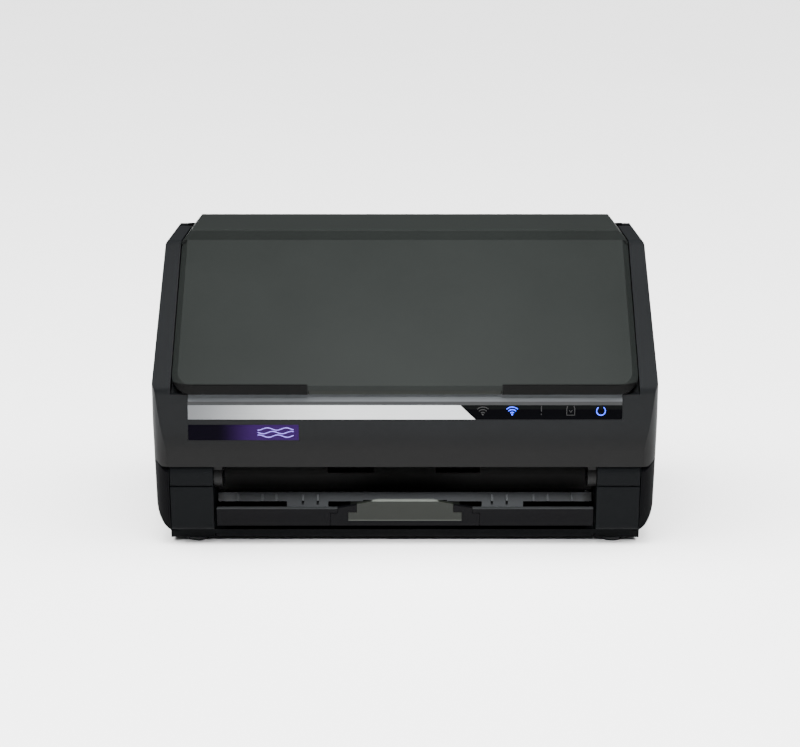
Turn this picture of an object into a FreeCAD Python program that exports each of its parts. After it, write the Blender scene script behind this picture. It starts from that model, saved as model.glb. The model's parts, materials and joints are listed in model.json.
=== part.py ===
import FreeCAD, Part
import math
import os
import re
import Sketcher

# Sheet-fed photo scanner, closed. Millimetres, +Z up, front towards -Y, origin at the centre of the
# underside's bounding box. Every driving size is one cell of the sheet; shapes are bound to the cells.

SIZES = {
    "width": 296, "depth": 169, "height": 176, "wall": 2.5, "gap": 0.6, "fit": 0.05,
    # outer form
    "foot_lift": 2, "belt_line": 75, "belly_round": 22, "shoulder_round": 3, "front_round": 12,
    "rear_round": 18, "brow_z": 95, "face_break": 62, "face_lean": 3.7, "brow_round": 8,
    "crown_round": 9, "crown_rear_round": 24, "rear_heel": 30,
    # cover and its hinge
    "hinge_z": 42, "knuckle": 9.8, "pin_radius": 2.5, "cover_open": 45, "arm_thick": 5,
    "rib_thick": 2.4, "exit_lip_z": 49, "bevel_top": 92, "strip_low": 77.5, "strip_high": 87.8,
    "strip_depth": 1.6, "window_slant": 11, "label_low": 65.3, "label_high": 74.3,
    # paper path
    "path_z": 22, "guide_thick": 2, "paper_gap": 1.6, "exit_along": 14, "sensor_along": 46,
    # lid
    "lid_barrel": 8, "lid_bevel": 3.8, "lid_corner": 14, "lid_thick": 9, "lid_wall": 2.2, "lid_gap": 1,
    "extension_thick": 2.2, "extension_long": 92, "extension_travel": 70, "tray_thick": 1.8,
    "guide_wall": 2.5, "guide_in": 27, "pinion_radius": 8,
    # base front and output trays
    "pillar_top": 36.7, "block_low": 9.6, "strip_top": 7.4, "lip_low": 12.6, "lip_high": 23.4,
    "lip_thick": 3, "tray_wall": 2, "stage_two_half": 44, "stage_two_shoulder": 39.6,
    "stage_three_half": 33.5, "stage_three_shoulder": 28.4,
    # rollers and drive
    "drive_radius": 6.5, "feed_radius": 9, "nip": 0.3, "shaft_radius": 3, "pinch_radius": 5,
    "separation_radius": 9, "pulley_radius": 6, "belt_thick": 1.2, "belt_wide": 6, "frame_thick": 1.6,
    "motor_radius": 17, "bush_half": 4.5, "latch_back": -6.23115, "latch_up": 11.23017,
    # controls and sockets
    "button_top": -9.45, "button_row": 12, "button_radius": 4.5, "socket_low": 34,
}

# Sizes that follow from the ones above, each a formula in the same sheet.
FOLLOWING = {
    "side_bottom": "width / 2 - 1.5", "side_top": "width / 2 - 2",
    "cheek_top": "height - 7", "crown_rear": "depth / 2 - 6.5",
    "hinge_y": "8.5 - depth / 2", "seam_y": "depth / 2 - 24.5", "seam_z": "height - 16",
    "slot_half": "width / 2 - 35", "pillar_half": "width / 2 - 9.8",
    "throat_y": "38.5 - depth / 2", "foot_block_y": "8 - depth / 2",
    "lid_half": "width / 2 - 12", "crest_half": "lid_half - 6",
    "lid_face_y": "0.5 - depth / 2", "lid_face_z": "bevel_top + 6.1", "lid_low_z": "bevel_top + 0.8",
    "lid_blend_y": "lid_face_y + 0.441 * depth", "lid_blend_z": "height - 6", "crest_y": "lid_blend_y + 2.5",
    "lid_pivot_y": "depth / 2 - 34.5", "lid_pivot_z": "height - lid_barrel", "lid_rear_z": "height - 13",
    "lid_inner_y": "lid_face_y + 6.3", "lid_inner_z": "lid_low_z - 1.2",
    "lid_bend_y": "lid_face_y + 0.2462 * depth",
    "lid_bend_z": "lid_face_z + (lid_bend_y - lid_face_y) * (lid_blend_z - lid_face_z) / (lid_blend_y - lid_face_y)"
                  " - 12.5",
    "mouth_y": "lid_pivot_y - 36",
    "path_y": "32.5 - depth / 2", "path_end_y": "lid_pivot_y - 9.2", "path_end_z": "lid_rear_z - 7",
    "path_tilt": "atan((path_end_z - path_z) / (path_end_y - path_y))",
    "path_long": "sqrt((path_end_z - path_z) * (path_end_z - path_z)"
                 " + (path_end_y - path_y) * (path_end_y - path_y))",
    "guide_half": "slot_half - 1", "feed_along": "path_long - 47", "conveyor_along": "path_long - 83",
    "frame_x": "slot_half + 3", "belt_x": "0 - slot_half - 8", "guide_out": "slot_half - 7.5",
    "strip_half": "width / 2 - 21.5", "window_left": "strip_half - 96.5", "label_left": "strip_half - 64.5",
    "tab_half": "width * 0.189", "lip_half": "slot_half - 1.8", "tray_long": "0.5444 * depth",
    "socket_face": "depth / 2 - 0.9", "jack_x": "width / 2 - 56", "usb_x": "width / 2 - 82",
    "latch_y": "path_y + feed_along * cos(path_tilt) - (separation_radius + 0.2 + nip) * sin(path_tilt) + latch_back",
    "latch_z": "path_z + feed_along * sin(path_tilt) + (separation_radius + 0.2 + nip) * cos(path_tilt) + latch_up",
    "latch_out": "slot_half + 9",
}
NAMES = re.compile(r"\b(" + "|".join(sorted([*SIZES, *FOLLOWING], key=len, reverse=True)) + r")\b")

# Worked-out places, as formulas on the sheet's cells.
SLOPE = "atan((lid_blend_z - lid_face_z) / (lid_blend_y - lid_face_y))"
RAMP = "atan((lid_rear_z - lid_bend_z) / (lid_pivot_y - lid_bend_y))"
SEAM = "atan((seam_z - hinge_z - knuckle) / (seam_y - hinge_y + knuckle / 2))"
LID_TURN = "(180 + %s - path_tilt)" % RAMP

doc = FreeCAD.newDocument("scanner")
sheet = doc.addObject("Spreadsheet::Sheet", "size")
for row, (name, entry) in enumerate([*SIZES.items(), *FOLLOWING.items()], 1):
    sheet.set("A%d" % row, name)
    sheet.set("B%d" % row, "=" + entry if name in FOLLOWING else str(entry))
    sheet.setAlias("B%d" % row, name)
doc.recompute()
pieces = []


def formula(text):
    """The text with every size name pointing at its cell."""
    return NAMES.sub(r"size.\1", str(text))


def value(text):
    return float(sheet.evalExpression(formula(text)))


def bind(item, prop, text):
    item.setExpression(prop, formula(text))


def plane(body, role):
    return next(item for item in body.Origin.OriginFeatures if item.Role == role)


def piece(name, kept=True):
    body = doc.addObject("PartDesign::Body", name)
    body.Label = name
    if kept:
        pieces.append(body)
    return body


def keep(item, name):
    item.Label = name
    pieces.append(item)
    return item


def datum(sketch, kind, geometry, point, text, about=-1):
    number = sketch.addConstraint(Sketcher.Constraint(kind, about, 1, geometry, point, value(text)))
    sketch.setExpression("Constraints[%d]" % number, formula(text))


def radius(sketch, geometry, text):
    number = sketch.addConstraint(Sketcher.Constraint("Radius", geometry, value(text)))
    sketch.setExpression("Constraints[%d]" % number, formula(text))


def add_circle(sketch, across, up, size):
    centre = FreeCAD.Vector(value(across), value(up), 0)
    ring = sketch.addGeometry(Part.Circle(centre, FreeCAD.Vector(0, 0, 1), value(size)), False)
    datum(sketch, "DistanceX", ring, 3, across)
    datum(sketch, "DistanceY", ring, 3, up)
    radius(sketch, ring, size)


def add_outline(sketch, corners):
    """A closed outline of straight sides; a corner with a third entry is rounded to that radius."""
    spots = [FreeCAD.Vector(value(corner[0]), value(corner[1]), 0) for corner in corners]
    count = len(corners)
    ends = []
    for index in range(count):
        here = spots[index]
        back = (spots[index - 1] - here).normalize()
        ahead = (spots[(index + 1) % count] - here).normalize()
        if len(corners[index]) == 2:
            ends.append((here, here, None))
            continue
        size = value(corners[index][2])
        half = back.getAngle(ahead) / 2
        reach = size / math.tan(half)
        centre = here + (back + ahead).normalize() * (size / math.sin(half))
        ends.append((here + back * reach, here + ahead * reach, centre))
    sides = []
    for index in range(count):
        start, stop = ends[index][1], ends[(index + 1) % count][0]
        sides.append(sketch.addGeometry(Part.LineSegment(start, stop), False))
    for index in range(count):
        before, after = sides[index - 1], sides[index]
        coming, going, centre = ends[index]
        if centre is None:
            sketch.addConstraint(Sketcher.Constraint("Coincident", before, 2, after, 1))
            datum(sketch, "DistanceX", after, 1, corners[index][0])
            datum(sketch, "DistanceY", after, 1, corners[index][1])
            continue
        apex = sketch.addGeometry(Part.Point(spots[index]), True)
        datum(sketch, "DistanceX", apex, 1, corners[index][0])
        datum(sketch, "DistanceY", apex, 1, corners[index][1])
        sketch.addConstraint(Sketcher.Constraint("PointOnObject", apex, 1, before))
        sketch.addConstraint(Sketcher.Constraint("PointOnObject", apex, 1, after))
        left = (going - centre).cross(coming - centre).z < 0
        first, last = (coming, going) if left else (going, coming)
        circle = Part.Circle(centre, FreeCAD.Vector(0, 0, 1), value(corners[index][2]))
        angles = [math.atan2(spot.y - centre.y, spot.x - centre.x) for spot in (first, last)]
        arc = sketch.addGeometry(Part.ArcOfCircle(circle, *angles), False)
        sketch.addConstraint(Sketcher.Constraint("Tangent", before, 2, arc, 1 if left else 2))
        sketch.addConstraint(Sketcher.Constraint("Tangent", arc, 2 if left else 1, after, 1))
        radius(sketch, arc, corners[index][2])


def draw(body, view, shapes, level):
    """A sketch in the side (Y, Z), front (X, Z) or top (X, Y) view at a level along the view's axis."""
    role = {"side": "YZ_Plane", "front": "XZ_Plane", "top": "XY_Plane"}[view]
    sketch = body.newObject("Sketcher::SketchObject", body.Name + "_" + view)
    sketch.AttachmentSupport = [(plane(body, role), "")]
    sketch.MapMode = "FlatFace"
    bind(sketch, "AttachmentOffset.Base.z", level)
    for shape in shapes:
        if len(shape) == 3 and isinstance(shape[0], (str, int, float)):
            add_circle(sketch, *shape)
        else:
            add_outline(sketch, shape)
    return sketch


def form(body, kind, view, shapes, low, high):
    """Pad or pocket the shapes of one view between two levels along that view's axis."""
    level = "-(%s)" % high if view == "front" else low
    sketch = draw(body, view, shapes, level)
    feature = body.newObject("PartDesign::" + kind, body.Name + "_" + kind.lower())
    feature.Profile = sketch
    feature.Reversed = kind == "Pocket"
    bind(feature, "Length", "(%s) - (%s)" % (high, low))
    before = body.Shape.Volume if body.Shape and not body.Shape.isNull() else 0
    doc.recompute()
    change = body.Shape.Volume - before
    if (kind == "Pocket" and change >= -0.001) or (kind == "Pad" and change <= 0.001):
        raise ValueError("%s changed nothing in %s" % (feature.Name, body.Label))
    return feature


def pad(body, view, low, high, *shapes):
    return form(body, "Pad", view, shapes, low, high)


def pocket(body, view, low, high, *shapes):
    return form(body, "Pocket", view, shapes, low, high)


def pad_both(body, view, low, high, *shapes):
    """The same pad on the right and on the left of the middle plane, for a side view."""
    pad(body, view, low, high, *shapes)
    pad(body, view, "-(%s)" % high, "-(%s)" % low, *shapes)


def pocket_both(body, view, low, high, *shapes):
    pocket(body, view, low, high, *shapes)
    pocket(body, view, "-(%s)" % high, "-(%s)" % low, *shapes)


def box(left, low, right, high):
    return [(left, low), (right, low), (right, high), (left, high)]


def mirrored(corners):
    """A right-hand half outline, listed from its lowest point, closed by its mirror image."""
    other = [("-(%s)" % corner[0],) + tuple(corner[1:]) for corner in reversed(corners)]
    return list(corners) + other


def dress(body, kind, size, chosen):
    """Fillet or chamfer the edges that a test on the edge picks."""
    base = body.Tip
    names = ["Edge%d" % (number + 1) for number, edge in enumerate(base.Shape.Edges) if chosen(edge)]
    feature = body.newObject("PartDesign::" + kind, body.Name + "_" + kind.lower())
    feature.Base = (base, names)
    bind(feature, "Radius" if kind == "Fillet" else "Size", size)
    doc.recompute()
    return feature


def along(direction, places, reach=0.6):
    """A test for straight edges in one direction whose middle lies near one of the places."""
    def test(edge):
        if edge.Curve.TypeId != "Part::GeomLine":
            return False
        way = edge.tangentAt(edge.FirstParameter)
        if abs(way.dot(direction)) < 0.999:
            return False
        middle = edge.CenterOfMass
        return any(all(want is None or abs(want - got) < reach for want, got in zip(place, middle))
                   for place in places)
    return test


def boolean(kind, name, first, *others):
    item = doc.addObject("Part::" + kind, name)
    if kind == "Cut":
        item.Base, item.Tool = first, others[0]
    else:
        item.Shapes = [first] + list(others)
    doc.recompute()
    return item


def fuse(name, *items):
    return boolean("MultiFuse", name, *items)


def cut(name, first, second):
    return boolean("Cut", name, first, second)


def common(name, *items):
    return boolean("MultiCommon", name, *items)


def to_path(back, up):
    """A place given by its Y and Z, as the lengths along the paper path and square off it to the front."""
    along_path = "((%s) - path_y) * cos(path_tilt) + ((%s) - path_z) * sin(path_tilt)" % (back, up)
    above = "((%s) - path_z) * cos(path_tilt) - ((%s) - path_y) * sin(path_tilt)" % (up, back)
    return along_path, above


def on_path(item):
    """Lay an item built flat, with the path along +Y and its front face up, onto the paper path."""
    item.Placement = FreeCAD.Placement(FreeCAD.Vector(), FreeCAD.Rotation(FreeCAD.Vector(1, 0, 0), 1))
    bind(item, "Placement.Base.y", "path_y")
    bind(item, "Placement.Base.z", "path_z")
    bind(item, "Placement.Rotation.Angle", "path_tilt")
    return item


# The outer form is one body cut by its side, front and top outlines, each drawn in by the same inset.

def hull(name, inset):
    half, back = "(width / 2 - %s)" % inset, "(depth / 2 - %s)" % inset
    body = piece(name, False)
    pad(body, "side", "-" + half, half, [
        ("-%s + 2" % back, "foot_lift + 3 + %s" % inset, 3), ("-" + back, "face_break - 44"),
        ("-" + back, "face_break", 60),
        ("-%s + face_lean" % back, "brow_z - %s / 2" % inset, "brow_round"),
        ("lid_blend_y + 3.5 + %s / 2" % inset, "cheek_top - %s" % inset, "crown_round"),
        ("crown_rear - %s" % inset, "cheek_top - %s" % inset, "crown_rear_round"),
        (back, "rear_heel + 60", 40), (back, "rear_heel"), ("%s - 3" % back, "foot_lift + 3 + %s" % inset, 5)])
    frame = box("-width", "-height", "width", "2 * height")
    pocket(body, "front", "-depth", "depth", frame, mirrored([
        ("side_bottom - %s" % inset, "foot_lift + 3 + %s - 0.5" % inset, "belly_round"),
        ("width / 2 - %s" % inset, "belt_line"),
        ("side_top - %s" % inset, "cheek_top - %s + 0.5" % inset, "shoulder_round")]))
    pocket(body, "top", "-height", "2 * height", box("-width", "-depth", "width", "depth"), mirrored([
        ("width / 2 + 0.5 - %s" % inset, "-%s - 0.5" % back, "front_round"),
        ("width / 2 + 0.5 - %s" % inset, "%s + 0.5" % back, "rear_round")]))
    return body


def seam_zone(name, lift):
    """All that lies above and in front of the parting line, raised by a lift, round the knuckle."""
    body = piece(name, False)
    far = "(width / 2 + 10)"
    turn = "(knuckle + %s)" % lift
    start_y = "(hinge_y - %s * sin(%s))" % (turn, SEAM)
    start_z = "(hinge_z + %s * cos(%s))" % (turn, SEAM)
    pad(body, "side", "-" + far, far, [
        ("-depth", "exit_lip_z - 0.3 + %s" % lift), (start_y + " - 1", "exit_lip_z - 0.3 + %s" % lift),
        (start_y, start_z), ("seam_y - %s" % lift, "seam_z + %s" % lift),
        ("seam_y - %s" % lift, "2 * height"), ("-depth", "2 * height")])
    return body


outer = hull("outer_form", "0")
inner = hull("inner_form", "wall")
skin = cut("skin", outer, inner)
cover_zone = seam_zone("cover_zone", "gap / 2")
base_limit = seam_zone("base_limit", "(0 - gap / 2)")
LOW_INNER = ("lid_inner_y + 1.3", "lid_inner_z + 1.3 * tan(%s)" % SLOPE)


def ramp_z(back, drop):
    """Height of the lid's inner face near its hinge, less a drop."""
    return "(lid_rear_z - (lid_pivot_y - (%s)) * tan(%s) - (%s))" % (back, RAMP, drop)


# Base: lower rear housing, open at the front between the cheeks.

base_skin = cut("base_skin", skin, base_limit)
throat = piece("throat", False)
pad(throat, "side", "-(pillar_half + gap)", "pillar_half + gap",
    box("-depth", "-5", "foot_block_y - 0.1", "2 * height"),
    box("foot_block_y - 0.1", "foot_lift + 5.6", "throat_y + 6", "2 * height"))
pad(throat, "side", "-(pillar_half - 1)", "pillar_half - 1",
    [("lid_pivot_y + 4", "lid_rear_z - 12"), ("lid_pivot_y + 30", "lid_rear_z + 5.4"),
     ("lid_pivot_y + 30", "height + 5"), ("lid_pivot_y + 4", "height + 5")])
rear_deck = piece("rear_deck", False)
pad(rear_deck, "side", "-(pillar_half + 1)", "pillar_half + 1",
    [("lid_pivot_y + 10.4", "lid_rear_z - 10.4"), ("lid_pivot_y + 26.5", "lid_rear_z + 0.2"),
     ("lid_pivot_y + 24.5", "lid_rear_z + 1.8"), ("lid_pivot_y + 10.4", "lid_rear_z - 7.8")])
pad(throat, "side", "-width", "width", [
    ("-depth", "hinge_z + 4"), ("-depth / 2 + 0.2", "hinge_z + 4"), ("-depth / 2 + 4.4", "hinge_z + knuckle + 0.2"),
    ("-depth / 2 + 4.4", "hinge_z + knuckle + 6"), ("-depth", "hinge_z + knuckle + 6")])
mouth = piece("mouth_frame", False)
pad(mouth, "side", "-lid_half", "lid_half",
    [("lid_pivot_y - 6.5", "lid_rear_z - 10.5"), ("lid_pivot_y + 11.5", "lid_rear_z - 10.5"),
     ("lid_pivot_y + 11.5", "lid_rear_z - 7.8"), ("lid_pivot_y - 6.5", "lid_rear_z - 8")])
pad_both(mouth, "side", "guide_half + 0.2", "lid_half",
         [("mouth_y + 0.8", "lid_rear_z - 20"), ("lid_pivot_y - 6", "lid_rear_z - 10.5"),
          ("lid_pivot_y - 6", "lid_rear_z - 8"), ("mouth_y + 0.8", "lid_rear_z - 17")])
keep(fuse("base_shell", mouth, cut("base_open", base_skin, throat), common("rear_deck_in", rear_deck, outer)),
     "base_shell")

bottom_pan = piece("bottom_pan")
pad(bottom_pan, "top", "foot_lift + 0.5", "foot_lift + 3",
    [("16 - width / 2", "throat_y - 14"), ("width / 2 - 16", "throat_y - 14"),
     ("width / 2 - 16", "depth / 2 - 8.5", 10), ("16 - width / 2", "depth / 2 - 8.5", 10)])
pad(bottom_pan, "side", "-(slot_half - 0.2)", "slot_half - 0.2",
    [("foot_block_y", "foot_lift + 0.5", 1), ("throat_y - 13", "foot_lift + 0.5"),
     ("throat_y - 13", "foot_lift + 3"),
     ("foot_block_y + 3", "foot_lift + 3"), ("foot_block_y + 3", "strip_top"), ("foot_block_y", "strip_top", 1)])

for side, sign in (("right", ""), ("left", "-")):
    low, high = ("slot_half", "pillar_half") if sign == "" else ("-pillar_half", "-slot_half")
    pillar = piece("pillar_" + side)
    pad(pillar, "side", low, high,
        [("-depth / 2", "block_low", 2.5), ("throat_y", "block_low"), ("throat_y", "pillar_top + 8"),
         ("hinge_y + knuckle + 8", "pillar_top + 8"), ("hinge_y + knuckle + 3", "pillar_top"),
         ("-depth / 2", "pillar_top", 0.8)])
    inner_face, behind = sorted(["%s(slot_half + 0.8)" % sign, "%s126" % sign], key=value)
    pocket(pillar, "side", inner_face, behind,
           [("throat_y - 2.8", "18"), ("throat_y + 1", "18"), ("throat_y + 1", "35"), ("throat_y - 2.8", "35")])
    cap = piece("hinge_cap_" + side)
    pad(cap, "side", low, high,
        [("-depth / 2", "pillar_top + gap", 0.6), ("hinge_y + knuckle", "pillar_top + gap"),
         ("hinge_y + knuckle", "hinge_z + knuckle", "knuckle - 0.5"),
         ("-depth / 2", "hinge_z + knuckle", "knuckle - 2.5")])
    pocket(cap, "side", low, high, ("hinge_y", "hinge_z", "pin_radius"))
    block = piece("foot_block_" + side)
    near, far = ("slot_half + 0.4", "pillar_half + 1.6")
    if sign:
        near, far = "-(%s)" % far, "-(%s)" % near
    pad(block, "side", near, far, [("foot_block_y", "foot_lift", 1.6), ("foot_block_y + 14.5", "foot_lift"),
                                  ("foot_block_y + 14.5", "strip_top"), ("foot_block_y", "strip_top", 1)])

feet = piece("rubber_feet")
pad(feet, "top", "0", "foot_lift",
    ("slot_half + 11", "hinge_y + 6", 6), ("-(slot_half + 11)", "hinge_y + 6", 6))
pad(feet, "top", "0", "foot_lift + 0.5",
    ("slot_half + 5", "depth / 2 - 20.5", 7), ("-(slot_half + 5)", "depth / 2 - 20.5", 7))

pins = piece("cover_hinge_pins")
for low, high in (("slot_half - 6", "slot_half + 16"), ("-(slot_half + 16)", "-(slot_half - 6)")):
    pad(pins, "side", low, high, ("hinge_y", "hinge_z", "pin_radius"))

# Bar above the output trays, with two deep lands and thin fins that hold sheets down.
comb = piece("exit_comb")
pad(comb, "side", "-(slot_half - 0.1)", "slot_half - 0.1",
    box("throat_y - 12.5", "lip_high - 4.5", "throat_y - 10.5", "lip_high + 1.2"))
pad_both(comb, "side", "stage_two_half + 2.5", "stage_two_half + 27.5",
         box("throat_y - 12.5", "lip_low + tray_wall + 0.5", "throat_y - 10.5", "lip_high - 4.2"))
for fin in (8, 17, 33, 41.5, 56):
    across = "(stage_two_half + %s * (slot_half - stage_two_half) / 69)" % fin
    pad_both(comb, "side", across, across + " + 1.2",
             [("throat_y - 16", "lip_high - 3"), ("throat_y - 12.5", "lip_high - 4.4"), ("throat_y - 11", "lip_high - 4.4"),
              ("throat_y - 11", "lip_high"), ("throat_y - 13.5", "lip_high")])

# Rear paper guide, laid on the path.

guide = on_path(piece("rear_guide"))
pad(guide, "side", "-guide_half", "guide_half",
    [("3", "-paper_gap / 2 - guide_thick"), ("path_long", "-paper_gap / 2 - guide_thick"),
     ("path_long", "-paper_gap / 2"), ("3", "-paper_gap / 2")])


def windows(body, level_low, level_high, place, reach, spots, half_width):
    shapes = [box("%s - %s" % (spot, half_width), "%s - %s" % (place, reach),
                  "%s + %s" % (spot, half_width), "%s + %s" % (place, reach)) for spot in spots]
    pocket(body, "top", level_low, level_high, *shapes)


GUIDE_LOW, GUIDE_HIGH = "-paper_gap / 2 - guide_thick - 1", "-paper_gap / 2 + 1"
EXIT_TYRES = ["-58", "58"]
FEED_TYRES = ["-17", "17"]
windows(guide, GUIDE_LOW, GUIDE_HIGH, "exit_along", "drive_radius", EXIT_TYRES, "8")
windows(guide, GUIDE_LOW, GUIDE_HIGH, "conveyor_along", "drive_radius", EXIT_TYRES, "8")
windows(guide, GUIDE_LOW, GUIDE_HIGH, "feed_along", "feed_radius", FEED_TYRES, "12")
windows(guide, GUIDE_LOW, GUIDE_HIGH, "sensor_along", "5.2", ["0"], "guide_half - 2")


def sensor_parts(face, side, glass_name, sensor_name):
    """A glass strip flush with the paper face and the sensor bar behind it."""
    glass = on_path(piece(glass_name))
    low, high = (face + " - 1.8", face) if side < 0 else (face, face + " + 1.8")
    half = "guide_half - 2.2" if side < 0 else "slot_half - 9.2"
    pad(glass, "top", low, high, box("-(%s)" % half, "sensor_along - 5", half, "sensor_along + 5"))
    bar = on_path(piece(sensor_name))
    low, high = (face + " - 15", face + " - 2.1") if side < 0 else (face + " + 2.1", face + " + 15")
    half = "guide_half - 4" if side < 0 else "slot_half - 6.1"
    pad(bar, "top", low, high, box("-(%s)" % half, "sensor_along - 8", half, "sensor_along + 8"))


sensor_parts("-paper_gap / 2", -1, "rear_glass", "rear_sensor")
sensor_parts("paper_gap / 2", 1, "front_glass", "front_sensor")

# Drive: three driven shafts, their tyres and pulleys, one belt and the motor.

DRIVES = {"feed": ("feed_along", "feed_radius", FEED_TYRES, 11),
          "conveyor": ("conveyor_along", "drive_radius", EXIT_TYRES, 7),
          "exit": ("exit_along", "drive_radius", EXIT_TYRES, 7)}
for name, (place, size, spots, half_width) in DRIVES.items():
    depth_in = "-(%s) + 0.2" % size
    shaft = on_path(piece(name + "_shaft"))
    pad(shaft, "side", "belt_x + belt_wide / 2", "frame_x + 4", (place, depth_in, "shaft_radius"))
    tyres = on_path(piece(name + "_tyres"))
    for spot in spots:
        pad(tyres, "side", "%s - %s" % (spot, half_width), "%s + %s" % (spot, half_width),
            (place, depth_in, size))
        pocket(tyres, "side", "%s - %s - 1" % (spot, half_width), "%s + %s + 1" % (spot, half_width),
               (place, depth_in, "shaft_radius"))
    pulley = on_path(piece(name + "_pulley"))
    pad(pulley, "side", "belt_x - belt_wide / 2", "belt_x + belt_wide / 2", (place, depth_in, "pulley_radius"))

MOTOR = ("exit_along + 38", "-motor_radius * 3 - 1")
motor = on_path(piece("motor"))
pad(motor, "side", "-(frame_x - frame_thick - 0.2)", "-(frame_x - 34)", (MOTOR[0], MOTOR[1], "motor_radius"))
motor_shaft = on_path(piece("motor_pulley"))
pad(motor_shaft, "side", "belt_x - belt_wide / 2", "belt_x + belt_wide / 2", (MOTOR[0], MOTOR[1], "pulley_radius"))


def bush_outline(place, size):
    """A square about a drive shaft, which keeps its bush from turning in the frame."""
    centre = "-(%s) + 0.2" % size
    return box("%s - bush_half" % place, centre + " - bush_half + 1.2", "%s + bush_half" % place,
               centre + " + bush_half - 1.2")


for side, low, high in (("right", "frame_x - frame_thick", "frame_x"), ("left", "-frame_x", "-(frame_x - frame_thick)")):
    frame = on_path(piece("side_frame_" + side))
    pad(frame, "side", low, high,
        [("2", "-3.2"), ("feed_along + 22", "-3.2"), ("feed_along + 16", "-30"), ("motor_radius + 45", "-80"),
         to_path("lid_pivot_y - 6", "foot_lift + 5.55"), to_path("throat_y + 26", "foot_lift + 5.55"), ("2", "-14")])
    inner_low, inner_high = ("guide_half - 2", "frame_x - 0.5") if side == "right" else ("-(frame_x - 0.5)", "-(guide_half - 2)")
    for start, stop in (("24", "34"), ("58", "conveyor_along - 10"), ("conveyor_along + 9", "feed_along - 12"),
                        ("feed_along + 12", "feed_along + 21")):
        pad(frame, "side", inner_low, inner_high,
            [(start, "-paper_gap / 2 - guide_thick"), (start, "-paper_gap / 2 - guide_thick - 1.6"),
             (stop, "-paper_gap / 2 - guide_thick - 1.6"), (stop, "-paper_gap / 2 - guide_thick")])
    pocket(frame, "side", low, high,
           *[bush_outline(place, size) for place, size, _, _ in DRIVES.values()])
bushes = on_path(piece("shaft_bushes"))
for low, high in (("frame_x - frame_thick", "frame_x"), ("-frame_x", "-(frame_x - frame_thick)")):
    for place, size, _, _ in DRIVES.values():
        pad(bushes, "side", low, high, bush_outline(place, size))
        pocket(bushes, "side", low, high, (place, "-(%s) + 0.2" % size, "shaft_radius + fit"))

# Cover: the wedge in front of the paper path, with the cheeks either side of the lid.

DECK_TOP = [("-depth", "bevel_top"), ("lid_inner_y + 1.3", "bevel_top"),
            ("lid_bend_y + lid_gap * 0.4", "lid_bend_z - lid_gap * 1.3"),
            ("mouth_y", ramp_z("mouth_y", "lid_gap * 1.2"))]
recess = piece("recess", False)
pad(recess, "side", "-(lid_half + gap)", "lid_half + gap",
    DECK_TOP + [("mouth_y", ramp_z("mouth_y", "60")), ("depth", ramp_z("mouth_y", "60")),
                ("depth", "2 * height"), ("-depth", "2 * height")])
deck = piece("deck", False)
pad(deck, "side", "-(lid_half + gap + 2)", "lid_half + gap + 2",
    [("face_lean - depth / 2 + 0.5", "bevel_top"), DECK_TOP[1], DECK_TOP[2], DECK_TOP[3],
     ("mouth_y", ramp_z("mouth_y", "lid_gap * 1.2 + 2.6")),
     ("lid_bend_y + lid_gap * 0.4 + 1", "lid_bend_z - lid_gap * 1.3 - 3"),
     ("lid_inner_y + 3.2", "bevel_top - 2.6"), ("face_lean - depth / 2 + 0.5", "bevel_top - 2.6")])
cheek_walls = piece("cheek_walls", False)
pad_both(cheek_walls, "side", "lid_half + gap", "lid_half + gap + 2.4",
         [("lid_face_y", "bevel_top - 2"), ("lid_inner_y", "bevel_top - 2"),
          ("lid_bend_y", "lid_bend_z - 5"), ("seam_y - 8", "lid_rear_z - 14"), ("seam_y", "lid_rear_z - 14"),
          ("seam_y", "2 * height"), ("lid_face_y", "2 * height")])
cheek_in = common("cheek_in", cheek_walls, outer, cover_zone)
deck_in = common("deck_in", deck, outer)
trim_zones = {
    "silver_strip": [("-strip_half", "strip_low"), ("window_left + window_slant", "strip_low"),
                     ("window_left", "strip_high"), ("-strip_half", "strip_high")],
    "indicator_window": [("window_left + window_slant + 0.1", "strip_low"), ("strip_half", "strip_low", 1.5),
                         ("strip_half", "strip_high"), ("window_left + 0.1", "strip_high")],
    "label_plate": box("-strip_half", "label_low", "-label_left", "label_high")}
trim_pocket = piece("trim_pocket", False)
pad(trim_pocket, "front", "-depth", "face_lean - depth / 2 + strip_depth",
    box("-strip_half - 0.1", "strip_low - 0.1", "strip_half + 0.1", "strip_high + 0.1"))
pad(trim_pocket, "front", "-depth", "-depth / 2 + strip_depth + 1",
    box("-strip_half - 0.1", "label_low - 0.1", "0.1 - label_left", "label_high + 0.1"))
pad(trim_pocket, "side", "-strip_half", "strip_half",
    [("-depth", "strip_high"), ("face_lean - depth / 2 - 0.9", "strip_high"),
     ("face_lean - depth / 2 + 1.4", "bevel_top + 0.3"), ("-depth", "bevel_top + 0.3")])
for name, shape in trim_zones.items():
    zone = piece(name + "_zone", False)
    back = "-depth / 2 + strip_depth + 1" if name == "label_plate" else "face_lean - depth / 2 + strip_depth"
    pad(zone, "front", "-depth", back, shape)
    keep(common(name, outer, zone), name)
arms = piece("arms", False)
pad_both(arms, "side", "slot_half - 0.4 - arm_thick", "slot_half - 0.4",
         [("hinge_y - 6", "hinge_z"), ("hinge_y + 6", "hinge_z"), ("hinge_y + 14", "hinge_z + 14"),
          ("hinge_y + 14", "hinge_z + 22"), ("hinge_y - 6", "hinge_z + 22")])
pad_both(arms, "side", "slot_half - 0.4 - arm_thick", "slot_half - 0.4", ("hinge_y", "hinge_z", "knuckle - 2.4"))
ribs = on_path(piece("cover_ribs", False))
pad_both(ribs, "side", "slot_half - 6", "slot_half - 6 + rib_thick",
         [("9", "paper_gap / 2 + 0.1"), ("feed_along + 5.5", "paper_gap / 2 + 0.1"), ("feed_along + 20", "13.6"),
          ("feed_along + 20", "17.5"), ("feed_along + 10", "26"), ("66", "40"), ("34", "34"), ("9", "8")])
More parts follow.
